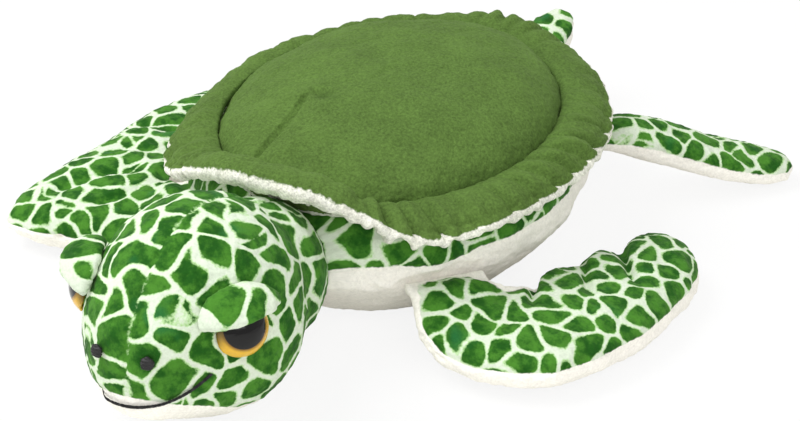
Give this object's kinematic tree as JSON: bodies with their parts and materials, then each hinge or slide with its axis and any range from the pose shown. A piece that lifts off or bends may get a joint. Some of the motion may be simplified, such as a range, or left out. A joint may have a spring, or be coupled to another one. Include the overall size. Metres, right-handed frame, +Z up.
{
  "type": "plush turtle",
  "caption": "Stuffed sea turtle soft toy lying on its belly, with a domed shell and rim, turned head, flippers and tail that flap, safety eyes and stitched face.",
  "frame": {"origin": "middle of the flat patch of the belly that the toy rests on", "axes": "+Z up, the head towards -Y, the turtle's own left side towards +X"},
  "size_m": [0.2497, 0.3145, 0.0751],
  "materials": {
    "green_shell_plush": "short pile, matt",
    "printed_plush": "short pile, printed",
    "cream_plush": "short pile, matt",
    "white_plush": "fluffy pile, matt",
    "polyester_filling": "loose fibre",
    "amber_and_black_plastic": "gloss",
    "washer_plastic": "matt",
    "black_thread": "satin stitch"
  },
  "bodies": {
    "body": {"belly_panel": "cream_plush", "body_side_panel": "printed_plush", "shell_dome_panel": "green_shell_plush", "body_filling": "polyester_filling", "shell_rim_top": "green_shell_plush", "shell_rim_lining": "white_plush"},
    "head": {"head_panel_left": "printed_plush", "head_panel_right": "printed_plush", "chin_panel": "cream_plush", "head_filling": "polyester_filling", "eye_left": "amber_and_black_plastic", "eye_right": "amber_and_black_plastic", "eye_washer_left": "washer_plastic", "eye_washer_right": "washer_plastic", "eyelid_left": "printed_plush", "eyelid_right": "printed_plush", "nostril_left": "black_thread", "nostril_right": "black_thread", "mouth_stitch": "black_thread"},
    "front_flipper_left": {"front_flipper_left_top_panel": "printed_plush", "front_flipper_left_bottom_panel": "cream_plush", "front_flipper_left_filling": "polyester_filling", "front_flipper_left_root_roll": "printed_plush"},
    "front_flipper_right": {"front_flipper_right_top_panel": "printed_plush", "front_flipper_right_bottom_panel": "cream_plush", "front_flipper_right_filling": "polyester_filling", "front_flipper_right_root_roll": "printed_plush"},
    "rear_flipper_left": {"rear_flipper_left_top_panel": "printed_plush", "rear_flipper_left_bottom_panel": "cream_plush", "rear_flipper_left_filling": "polyester_filling", "rear_flipper_left_root_roll": "printed_plush"},
    "rear_flipper_right": {"rear_flipper_right_top_panel": "printed_plush", "rear_flipper_right_bottom_panel": "cream_plush", "rear_flipper_right_filling": "polyester_filling", "rear_flipper_right_root_roll": "printed_plush"},
    "tail": {"tail_top_panel": "printed_plush", "tail_bottom_panel": "cream_plush", "tail_filling": "polyester_filling", "tail_root_roll": "printed_plush"}
  },
  "joints": [
    {"name": "head_turn", "type": "hinge", "parent": "body", "child": "head", "pos_m": [0.003, -0.0955, 0.0345], "axis": [0, 0, 1], "range_deg": [-20, 15], "stiffness_Nm_per_rad": 0.02},
    {"name": "front_flipper_left_flap", "type": "hinge", "parent": "body", "child": "front_flipper_left", "pos_m": [0.0545, -0.05417, 0.026], "axis": [-0.5793, -0.8151, 0], "range_deg": [-10, 20], "stiffness_Nm_per_rad": 0.05},
    {"name": "rear_flipper_left_flap", "type": "hinge", "parent": "body", "child": "rear_flipper_left", "pos_m": [0.04666, 0.06359, 0.026], "axis": [0.6979, -0.7162, 0], "range_deg": [-10, 18], "stiffness_Nm_per_rad": 0.02},
    {"name": "front_flipper_right_flap", "type": "hinge", "parent": "body", "child": "front_flipper_right", "pos_m": [-0.0545, -0.05417, 0.026], "axis": [-0.5793, 0.8151, 0], "range_deg": [-10, 20], "stiffness_Nm_per_rad": 0.05},
    {"name": "rear_flipper_right_flap", "type": "hinge", "parent": "body", "child": "rear_flipper_right", "pos_m": [-0.04666, 0.06359, 0.026], "axis": [0.6979, 0.7162, 0], "range_deg": [-10, 18], "stiffness_Nm_per_rad": 0.02},
    {"name": "tail_flap", "type": "hinge", "parent": "body", "child": "tail", "pos_m": [0, 0.0842, 0.026], "axis": [1, 0, 0], "range_deg": [-10, 20], "stiffness_Nm_per_rad": 0.01}
  ]
}
